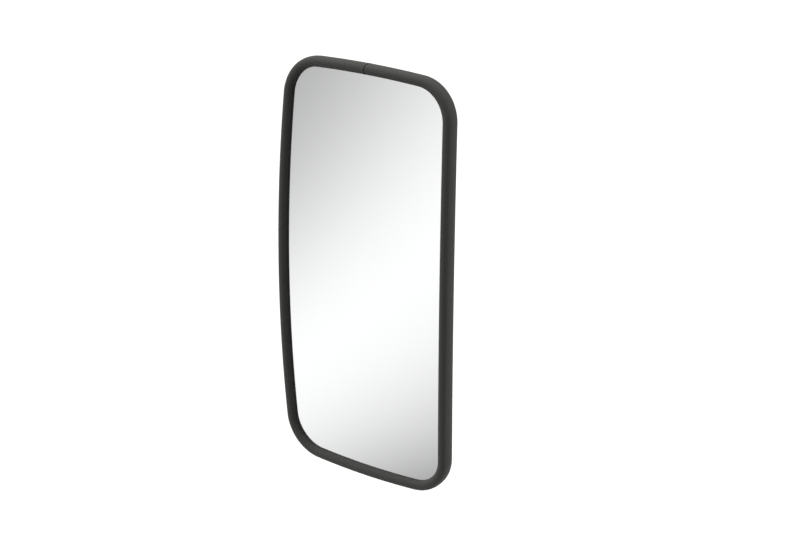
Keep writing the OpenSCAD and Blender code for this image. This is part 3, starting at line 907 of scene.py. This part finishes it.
def rivet_holes(bm, low, high, sizes):
    """Cuts the holes for the hub's rivets through a body that goes from low to high."""
    for centre in rivet_centres(sizes):
        hole = chamfered(low - MM, high + MM, 2.45 * MM, 0.1 * MM)
        bm = combined(bm, turned(hole, centre, FORWARD, RIGHT, 32), "DIFFERENCE")
    return bm


class MIRROR_OT_stud(Operator):
    """Adds the ball stud with its neck, hex flange and shank"""
    bl_idname = "mirror.stud"
    bl_label = "Ball Stud"

    def execute(self, context):
        neck = context.scene.mirror_bracket.neck / 2
        end = span("ball_stud")[1]
        flange = span("hub_bush")[0] - 0.05 * MM
        flange_t = 2.2 * MM
        shank = 4 * MM
        fillet = 1.2 * MM
        last = asin((neck + 0.7 * MM) / BALL_R)
        profile = [(x, max(0.0, r)) for x, r in arc((0, 0), BALL_R, pi, last, 56)]
        profile[0] = (-BALL_R, 0)
        profile += [(BALL_R * cos(last) + fillet, neck), (flange - flange_t - fillet, neck),
                    (flange - flange_t, neck + 0.8 * MM), (flange - 1 * MM, neck + 0.8 * MM),
                    (flange - 1 * MM, shank), (end - 0.8 * MM, shank), (end, shank - 0.8 * MM), (end, 0)]
        nut = hexagon(8.6 * MM, flange - flange_t, flange, BALL, FORWARD, RIGHT)
        bm = combined(on_stud(profile), nut, "UNION")
        piece("ball_stud_turned", bm, "zinc", "ball_stud_set", "ball_stud")
        return {"FINISHED"}


class MIRROR_OT_hub(Operator):
    """Adds the cast hub, its gasket and the flanged bush that it turns on"""
    bl_idname = "mirror.hub"
    bl_label = "Pivot Hub"

    def execute(self, context):
        sizes = context.scene.mirror_bracket
        low, high, radius = span("pivot_hub")
        face = low + 2 * MM
        bore = 5.5 * MM
        profile = [(low, 0), (low, 11 * MM), (face, 11 * MM), (face, radius), (high, radius), (high, 0)]
        bm = on_stud(profile, 96)
        for across in (RIGHT, UP):
            wide = across * 25 * MM + (RIGHT + UP - across) * 1.25 * MM
            rib = block(BALL + FORWARD * (face + 1 * MM) - wide, BALL + FORWARD * (low + 0.6 * MM) + wide)
            bmesh.ops.recalc_face_normals(rib, faces=rib.faces)
            bm = combined(bm, rib, "UNION")
        soften(bm, 0.7 * MM, 50.0)
        bm = combined(bm, on_stud([(low - MM, 0), (low - MM, bore), (high + MM, bore), (high + MM, 0)]),
                      "DIFFERENCE")
        bm = rivet_holes(bm, low, high, sizes)
        piece("pivot_hub_casting", bm, "cast_black", "mirror_head", "pivot_hub")
        self.gasket(sizes)
        self.bush()
        return {"FINISHED"}

    def gasket(self, sizes):
        low, high, radius = span("hub_gasket")
        edge = 0.12 * MM
        bm = turned_ring([(low, 5.7 * MM), (low, radius - edge), (low + edge, radius),
                          (high - edge, radius), (high, radius - edge), (high, 5.7 * MM)],
                         BALL, FORWARD, RIGHT, 96)
        bm = rivet_holes(bm, low, high, sizes)
        piece("hub_gasket_ring", bm, "gasket_rubber", "mirror_head", "hub_gasket")

    def bush(self):
        low, high, radius = span("hub_bush")
        under, bore, body = low + 1 * MM, 4.05 * MM, 5.45 * MM
        edge = 0.2 * MM
        flange = [(low + edge, bore), (low, bore + edge), (low, radius - edge), (low + edge, radius),
                  (under - edge, radius), (under, radius - edge)]
        sleeve = [(under, body), (high - edge, body), (high, body - edge), (high, bore + edge),
                  (high - edge, bore)]
        bm = turned_ring(flange + sleeve, BALL, FORWARD, RIGHT)
        piece("hub_bush_moulding", bm, "nylon", "mirror_head", "hub_bush")


class MIRROR_OT_rivets(Operator):
    """Adds the hub's dome-headed rivets"""
    bl_idname = "mirror.rivets"
    bl_label = "Hub Rivets"

    def execute(self, context):
        low, high, _ = span("hub_rivets")
        head_r, head_t, shank, tail_r, tail_t = 4.5 * MM, 1.4 * MM, 2.4 * MM, 3.6 * MM, 2 * MM
        dome = [(low + head_t * (1 - cos(t)), head_r * sin(t)) for t in (i * pi / 20 for i in range(11))]
        tail = [(high - tail_t * (1 - sin(t)), tail_r * cos(t)) for t in (i * pi / 20 for i in range(11))]
        profile = dome + [(low + head_t, shank), (high - tail_t, shank)] + tail
        profile[-1] = (high, 0)
        centres = rivet_centres(context.scene.mirror_bracket)
        parts = [turned(profile, centre, FORWARD, RIGHT, 32) for centre in centres]
        piece("hub_rivets_set", joined(*parts), "spring_steel", "mirror_head", "hub_rivets")
        return {"FINISHED"}


class MIRROR_OT_seat_cups(Operator):
    """Adds the two nylon cups that hold the ball"""
    bl_idname = "mirror.seat_cups"
    bl_label = "Seat Cups"

    def execute(self, context):
        for name, node, axis in (("upper_cup_moulding", "upper_seat_cup", UP),
                                 ("lower_cup_moulding", "lower_seat_cup", -UP)):
            low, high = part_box(node)
            outer, near, far = high.x, min(abs(low.z), abs(high.z)), max(abs(low.z), abs(high.z))
            seat = BALL_R + 0.05 * MM
            edge = 0.4 * MM
            lip = asin(near / seat)
            profile = [(far, 0), (far, outer - edge), (far - edge, outer), (near + edge, outer),
                       (near, outer - edge)]
            profile += [(seat * sin(t), seat * cos(t)) for t in
                        (lip + (pi / 2 - lip) * i / 12 for i in range(12))]
            profile.append((seat, 0))
            bm = turned(profile, BALL, axis, RIGHT)
            piece(name, bm, "nylon", "seat_cups", node)
        return {"FINISHED"}


# ---- Pieces of the wall bracket ----


class MIRROR_OT_wall_plate(Operator):
    """Adds the wall plate with its four holes, and the two screws that hold the arm to it"""
    bl_idname = "mirror.wall_plate"
    bl_label = "Wall Plate"

    def execute(self, context):
        sizes = context.scene.mirror_bracket
        low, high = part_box("wall_plate")
        bm = soften(slab(low, high, sizes.plate_corner), 0.6 * MM, 60.0)
        depth = high.y - low.y
        through = chamfered(-MM, depth + MM, sizes.hole / 2, 0.1 * MM)
        for sx in (-1, 1):
            for sz in (-1, 1):
                at = Vector((sx * sizes.hole_span_x / 2, 0, sz * sizes.hole_span_z / 2))
                bm = combined(bm, turned(through, at, FORWARD, RIGHT, 48), "DIFFERENCE")
        sink = [(-MM, 0), (-MM, 5.2 * MM), (0, 5.2 * MM), (2.8 * MM, 2.8 * MM), (depth + MM, 2.8 * MM),
                (depth + MM, 0)]
        for at in self.screw_places():
            bm = combined(bm, turned(sink, at, FORWARD, RIGHT, 48), "DIFFERENCE")
        piece("wall_plate_pressing", bm, "black_paint", "wall_bracket", "wall_plate")
        self.screws()
        return {"FINISHED"}

    def screw_places(self):
        low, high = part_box("arm_screws")
        return [UP * sz * (high.z - 5 * MM) for sz in (-1, 1)]

    def screws(self):
        low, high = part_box("arm_screws")
        top, tip, shank = -high.y, -low.y, 2.5 * MM
        profile = [(top, 0), (top, 4.85 * MM), (top + 0.15 * MM, 4.9 * MM), (top + 2.6 * MM, shank),
                   (tip - 0.3 * MM, shank), (tip, shank - 0.3 * MM), (tip, 0)]
        made = []
        for at in self.screw_places():
            socket = prism(1.7 * MM, top - MM, top + 1.6 * MM, at, FORWARD, RIGHT)
            made.append(combined(turned(profile, at, FORWARD, RIGHT, 48), socket, "DIFFERENCE"))
        piece("arm_screws_pair", joined(*made), "zinc", "wall_bracket", "arm_screws")


def jaw(sizes, side, foot_y):
    """A jaw with the block behind it; side is 1 for the upper jaw and -1 for the lower."""
    top, wide = BALL_R + sizes.jaw_wall, sizes.block_width / 2

    def bar(front_y, from_z):
        z0, z1 = sorted((side * from_z, side * top))
        return block(Vector((-wide, front_y, z0)), Vector((wide, foot_y, z1)))

    bm = combined(bar(BALL.y + BALL_R + 1.5 * MM, sizes.block_gap), bar(BALL.y, sizes.jaw_gap), "UNION")
    low, round_r = sizes.jaw_gap, sizes.jaw_radius
    nose = turned([(low, 0), (low, round_r), (top, round_r), (top, 0)], BALL, UP * side, RIGHT, 96)
    return combined(bm, nose, "UNION")


def clamp_places(sizes, y):
    return [Vector((sx * sizes.clamp_span / 2, y, 0)) for sx in (-1, 1)]


def jaw_cuts(bm, sizes, side, screw_y):
    """Cuts the recess for the seat cup and the two clamp screw holes."""
    deep, start = BALL_R + 2.05 * MM, sizes.jaw_gap - 3 * MM
    recess = [(start, 0), (start, sizes.seat_recess), (deep, sizes.seat_recess), (deep, 0)]
    bm = combined(bm, turned(recess, BALL, UP * side, RIGHT, 96), "DIFFERENCE")
    hole_r = sizes.clamp_hole / 2
    hole = [(-2 * MM, 0), (-2 * MM, hole_r), (20 * MM, hole_r), (20 * MM, 0)]
    for at in clamp_places(sizes, screw_y):
        bm = combined(bm, turned(hole, at, UP * side, RIGHT, 40), "DIFFERENCE")
    return bm


class MIRROR_OT_jaws(Operator):
    """Adds the clamp arm with its lower jaw, and the upper jaw"""
    bl_idname = "mirror.jaws"
    bl_label = "Clamp Arm and Jaw"

    def execute(self, context):
        sizes = context.scene.mirror_bracket
        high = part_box("clamp_arm")[1]
        foot_low = Vector((-sizes.foot_width / 2, high.y - 6 * MM, -high.z))
        foot = slab(foot_low, Vector((-foot_low.x, high.y, high.z)), sizes.foot_corner)
        screw_y = foot_low.y - 9 * MM
        bm = combined(jaw(sizes, -1, foot_low.y + 1 * MM), foot, "UNION")
        soften(bm, sizes.cast_edge, 50.0, 4)
        bm = jaw_cuts(bm, sizes, -1, screw_y)
        hole = chamfered(0, 20 * MM, 2.55 * MM, 0.1 * MM)
        for sx, at in zip((-1, 1), clamp_places(sizes, screw_y)):
            pocket = prism(5.8 * MM, BALL_R + 0.9 * MM, BALL_R + 8 * MM, at, -UP, RIGHT)
            bm = combined(bm, pocket, "DIFFERENCE")
            screw_at = UP * sx * sizes.arm_screw_span / 2
            bm = combined(bm, turned(hole, screw_at, FORWARD, RIGHT, 32), "DIFFERENCE")
        piece("clamp_arm_casting", bm, "cast_black", "wall_bracket", "clamp_arm")
        self.upper(sizes, foot_low.y, screw_y)
        return {"FINISHED"}

    def upper(self, sizes, foot_y, screw_y):
        back, wide = foot_y - 0.5 * MM, sizes.block_width / 2
        heel = block(Vector((-wide, back - 2.5 * MM, -0.7 * MM)), Vector((wide, back, 2 * MM)))
        bm = combined(jaw(sizes, 1, back), heel, "UNION")
        soften(bm, sizes.cast_edge, 50.0, 4)
        bm = jaw_cuts(bm, sizes, 1, screw_y)
        piece("upper_jaw_casting", bm, "cast_black", "wall_bracket", "upper_jaw")


class MIRROR_OT_clamp_fasteners(Operator):
    """Adds the two clamp screws with their spring washers and nuts"""
    bl_idname = "mirror.clamp_fasteners"
    bl_label = "Clamp Fasteners"

    def execute(self, context):
        low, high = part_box("clamp_screws")
        places = clamp_places(context.scene.mirror_bracket, (low.y + high.y) / 2)
        rows = [("clamp_screws_pair", "clamp_screws", "zinc", self.screw),
                ("spring_washers_pair", "spring_washers", "spring_steel", self.washer),
                ("clamp_nuts_pair", "clamp_nuts", "zinc", self.nut)]
        for name, node, slot, make in rows:
            low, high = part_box(node)
            bm = joined(*[make(at, low.z, high.z) for at in places])
            piece(name, bm, slot, "wall_bracket", node)
        return {"FINISHED"}

    def screw(self, at, tip, top):
        """A cap screw with a knurled head and a hex socket."""
        head_r, head, shank, edge = 5 * MM, top - 6 * MM, 3 * MM, 0.5 * MM
        under = 0.3 * MM
        profile = [(tip, 0), (tip, shank - edge), (tip + edge, shank), (head, shank),
                   (head, head_r - under), (head + under, head_r), (top - edge, head_r),
                   (top, head_r - edge), (top, 0)]
        bm = turned(profile, at, UP, RIGHT, 96)
        knurl = 0.035
        for v in bm.verts:
            arm = v.co - at
            arm.z = 0
            if arm.length > head_r - 0.01 * MM:
                tooth = round(atan2(arm.y, arm.x) / tau * 96) % 2
                v.co -= arm * knurl * tooth
        socket = prism(2.9 * MM, top - 3 * MM, top + 1 * MM, at, UP, RIGHT)
        return combined(bm, socket, "DIFFERENCE")

    def washer(self, at, low, high):
        """A split washer that rises by a little from one end to the other."""
        rise, inner, outer, edge = 0.2 * MM, 3.1 * MM, 5.35 * MM, 0.15 * MM
        tall = high - low - rise
        gap = radians(6.3)
        out = Vector((sin(gap), cos(gap), 0))
        corners = [(inner, 0), (outer - edge, 0), (outer, edge), (outer, tall - edge), (outer - edge, tall),
                   (inner, tall)]
        bm = bmesh.new()
        first = [bm.verts.new(at + out * r + UP * (low + z)) for r, z in corners]
        start = bm.faces.new(first)
        steps = 60
        bmesh.ops.spin(bm, geom=[start, *start.edges, *first], cent=at, axis=-UP,
                       angle=tau - 2 * gap, steps=steps, dvec=UP * rise / steps)
        bmesh.ops.recalc_face_normals(bm, faces=bm.faces)
        return bm

    def nut(self, at, low, high):
        bm = hexagon(5.7 * MM, low, high, at, UP, RIGHT)
        bore = [(low - MM, 0), (low - MM, 3.05 * MM), (high + MM, 3.05 * MM), (high + MM, 0)]
        return combined(bm, turned(bore, at, UP, RIGHT, 48), "DIFFERENCE")


class MIRROR_OT_inner_layers(Operator):
    """Finishes the layers inside the head that keep their plain shape"""
    bl_idname = "mirror.inner_layers"
    bl_label = "Inner Layers"

    def execute(self, context):
        slots = {p["node"]: p["material_slot"] for p in frame["record"]["subparts"]}
        for name, obj in frame["nodes"].items():
            if not obj.hide_render:
                obj.data.materials.clear()
                obj.data.materials.append(finish_of(slots[name]))
        return {"FINISHED"}


# ---- Stage ----


def camera_axes(stage):
    """The camera's right, up and backward directions."""
    a, e = stage.azimuth, stage.elevation
    back = Vector((sin(a) * cos(e), -cos(a) * cos(e), sin(e)))
    level = Vector((cos(a), sin(a), 0))
    rise = back.cross(level)
    right = level * cos(stage.roll) + rise * sin(stage.roll)
    up = rise * cos(stage.roll) - level * sin(stage.roll)
    return right, up, back


class MIRROR_OT_stage(Operator):
    """Adds the pale floor with its painted shade, the soft studio light and the camera"""
    bl_idname = "mirror.stage"
    bl_label = "Stage"

    def execute(self, context):
        stage = context.scene.mirror_stage
        right, up, back = camera_axes(stage)
        head = HeadShape(context.scene)
        target = head.centre + FORWARD * head.r_bead
        camera = bpy.data.cameras.new("camera")
        camera.lens = stage.lens
        camera.sensor_width = 36.0
        camera.clip_end = 100.0
        obj = bpy.data.objects.new("camera", camera)
        context.scene.collection.objects.link(obj)
        place = target + back * stage.distance + right * stage.aim_right + up * stage.aim_up
        obj.matrix_world = Matrix.Translation(place) @ Matrix((right, up, back)).transposed().to_4x4()
        context.scene.camera = obj
        context.scene.view_settings.view_transform = "Standard"
        self.floor(stage, target)
        self.light(context.scene, stage, back)
        return {"FINISHED"}

    def floor(self, stage, target):
        bm = bmesh.new()
        bmesh.ops.create_grid(bm, x_segments=1, y_segments=1, size=stage.floor_size / 2)
        bmesh.ops.translate(bm, vec=target - UP * (stage.floor_drop + target.z), verts=bm.verts)
        obj = held(bm, "floor")
        obj.data.materials.append(self.floor_paint(target))

    def floor_paint(self, target):
        """Pale floor with painted shade: white behind the mirror and painted greyer in front, where the
        glass reflects it, standing in for uneven studio light. The painted shade fades like a bell either
        side of a slanting line of sight from the middle of the glass."""
        f = Finish("floor", (0.8, 0.8, 0.8), Roughness=1.0, Specular_IOR_Level=0.0)
        from_glass = f.add("VectorMath", operation="SUBTRACT")
        f.feed(from_glass.inputs[0], f.place)
        from_glass.inputs[1].default_value = target
        split = f.add("SeparateXYZ")
        f.feed(split.inputs[0], from_glass.outputs[0])
        x, y, z = split.outputs
        level = f.math("SQRT", f.math("ADD", f.math("MULTIPLY", x, x), f.math("MULTIPLY", y, y)))
        degree = 180 / pi
        azimuth = f.math("MULTIPLY", f.math("ARCTAN2", x, f.math("MULTIPLY", y, -1.0)), degree)
        elevation = f.math("MULTIPLY", f.math("ARCTAN2", z, level), degree)
        da = f.math("ADD", azimuth, 38.0)
        de = f.math("ADD", elevation, 22.0965)
        s = f.math("SUBTRACT", de, f.math("MULTIPLY", da, 0.644))
        s = f.math("SUBTRACT", s, f.math("MULTIPLY", f.math("MULTIPLY", da, de), 0.019111))

        def bell(width, scale, offset):
            t = f.math("DIVIDE", s, width)
            power = f.math("MULTIPLY", f.math("MULTIPLY", t, t), -1.0)
            return f.math("ADD", f.math("MULTIPLY", f.math("EXPONENT", power), scale), offset)

        # Painted shade: the floor's grey is laid by direction from the glass and stands in for uneven
        # studio light, so that the glass reflects it
        above = bell(19.075, 0.7106, 0.3534)
        below = f.math("MAXIMUM", bell(49.63, 3.467, -2.403), 0.4)
        near_side = f.spread(s, -0.01, 0.01, 0.0, 1.0)
        glow = f.math("ADD", f.math("MULTIPLY", above, near_side),
                      f.math("MULTIPLY", below, f.math("SUBTRACT", 1.0, near_side)))
        behind = f.spread(y, -0.7, 0.0, 0.0, 1.0)
        away = f.spread(azimuth, -20.0, 20.0, 1.0, 0.3)
        shade = f.math("MAXIMUM", f.math("MULTIPLY", glow, away), f.math("MULTIPLY", behind, 1.16))
        # The painted shade becomes the floor's base colour
        painted_shade_colour = f.math("MULTIPLY", shade, 0.80)
        grey = f.add("CombineColor")
        for socket in grey.inputs[:3]:
            f.feed(socket, painted_shade_colour)
        f.paint(grey.outputs[0])
        return f.material

    def light(self, scene, stage, back):
        """Soft light all round: bright overhead and behind, dark on the camera's side."""
        world = bpy.data.worlds.new("studio")
        world.use_nodes = True
        scene.world = world
        tree = world.node_tree
        where = tree.nodes.new("ShaderNodeTexCoord").outputs["Generated"]
        lobes = [
            (Vector((-0.25, -0.45, 0.86)), 0.0, 1.0, stage.overhead),
            (Vector((0.85, 0.50, 0.15)), 0.1, 1.0, stage.right),
            (Vector((back.x, back.y, -0.05)), 0.0, 0.9, -stage.camera_side),
        ]
        total = None
        for direction, low, high, strength in lobes:
            facing = tree.nodes.new("ShaderNodeVectorMath")
            facing.operation = "DOT_PRODUCT"
            tree.links.new(where, facing.inputs[0])
            facing.inputs[1].default_value = direction.normalized()
            fade = tree.nodes.new("ShaderNodeMapRange")
            fade.interpolation_type = "SMOOTHSTEP"
            tree.links.new(facing.outputs["Value"], fade.inputs["Value"])
            fade.inputs["From Min"].default_value = low
            fade.inputs["From Max"].default_value = high
            glow = tree.nodes.new("ShaderNodeMath")
            glow.operation = "MULTIPLY_ADD"
            tree.links.new(fade.outputs["Result"], glow.inputs[0])
            glow.inputs[1].default_value = strength
            glow.inputs[2].default_value = stage.sky
            if total:
                tree.links.new(total, glow.inputs[2])
            total = glow.outputs["Value"]
        least = tree.nodes.new("ShaderNodeMath")
        least.operation = "MAXIMUM"
        tree.links.new(total, least.inputs[0])
        least.inputs[1].default_value = 0.03
        tree.links.new(least.outputs["Value"], tree.nodes["Background"].inputs["Strength"])
        tree.nodes["Background"].inputs["Color"].default_value = (1.0, 0.995, 0.985, 1.0)


# ---- Panel, registration and the run ----

OPERATORS = [
    MIRROR_OT_glass,
    MIRROR_OT_bead,
    MIRROR_OT_shell,
    MIRROR_OT_hub,
    MIRROR_OT_rivets,
    MIRROR_OT_stud,
    MIRROR_OT_seat_cups,
    MIRROR_OT_wall_plate,
    MIRROR_OT_jaws,
    MIRROR_OT_clamp_fasteners,
    MIRROR_OT_inner_layers,
    MIRROR_OT_stage,
]


class MIRROR_PT_panel(Panel):
    """Lists the pieces of the mirror"""
    bl_idname = "MIRROR_PT_panel"
    bl_label = "Convex Mirror"
    bl_space_type = "VIEW_3D"
    bl_region_type = "UI"
    bl_category = "Convex Mirror"

    def draw(self, context):
        for operator in OPERATORS:
            self.layout.operator(operator.bl_idname)
        for name, group in GROUPS.items():
            box = self.layout.box()
            box.label(text=group.__name__)
            for prop in group.__annotations__:
                box.prop(getattr(context.scene, name), prop)


CLASSES = [*GROUPS.values(), *OPERATORS, MIRROR_PT_panel]


def register():
    for cls in CLASSES:
        bpy.utils.register_class(cls)
    for name, group in GROUPS.items():
        setattr(bpy.types.Scene, name, PointerProperty(type=group))


def unregister():
    for name in GROUPS:
        delattr(bpy.types.Scene, name)
    for cls in reversed(CLASSES):
        bpy.utils.unregister_class(cls)


def main():
    register()
    for operator in OPERATORS:
        group, name = operator.bl_idname.split(".")
        getattr(getattr(bpy.ops, group), name)()


if __name__ == "__main__":
    main()
